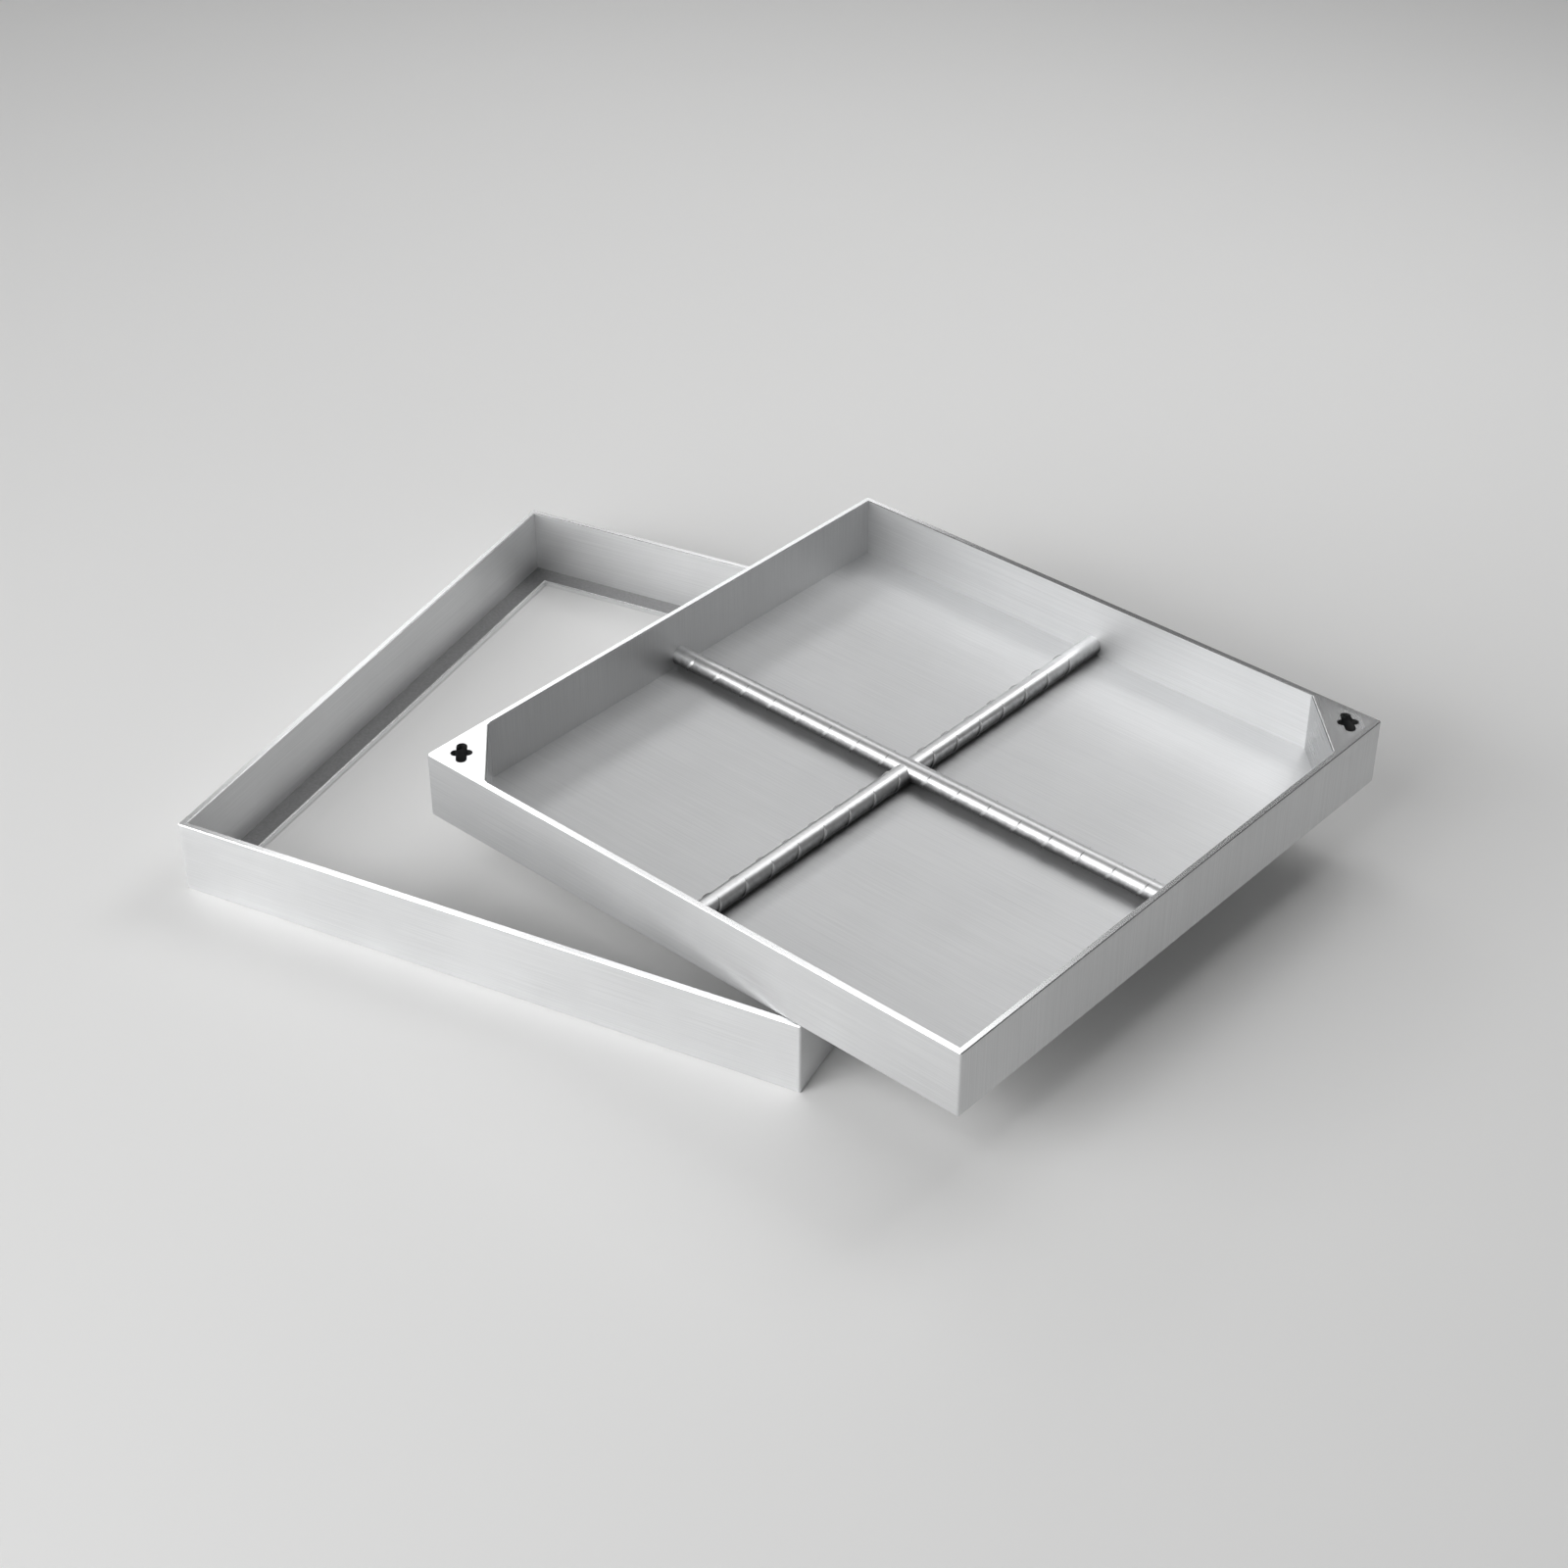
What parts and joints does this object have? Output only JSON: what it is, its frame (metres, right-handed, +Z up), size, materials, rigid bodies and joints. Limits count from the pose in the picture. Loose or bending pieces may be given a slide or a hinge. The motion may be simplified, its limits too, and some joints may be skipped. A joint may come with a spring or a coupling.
{
  "type": "drain cover",
  "caption": "Square stainless infill drain cover: a shallow recessed tray with crossed ribbed bars and corner key pockets, lifted out and set down askew on the rim of its angle frame.",
  "frame": {"origin": "on the ground under the middle of the bounding box of frame and tray together", "axes": "+Z up, +X and +Y along the sides of the tray; the frame under it is turned 15 degrees anticlockwise about +Z"},
  "size_m": [0.4464, 0.3694, 0.067],
  "materials": {
    "frame_steel": "satin stainless sheet, mitres welded and ground",
    "tray_steel": "satin stainless sheet, corner welds ground flush",
    "bar_steel": "bright ribbed stainless bar"
  },
  "bodies": {
    "root": {"tray_pan": "tray_steel", "key_pocket_left": "tray_steel", "key_pocket_right": "tray_steel", "lower_bar": "bar_steel", "upper_bar": "bar_steel", "frame_front": "frame_steel", "frame_right": "frame_steel", "frame_back": "frame_steel", "frame_left": "frame_steel"}
  },
  "joints": []
}
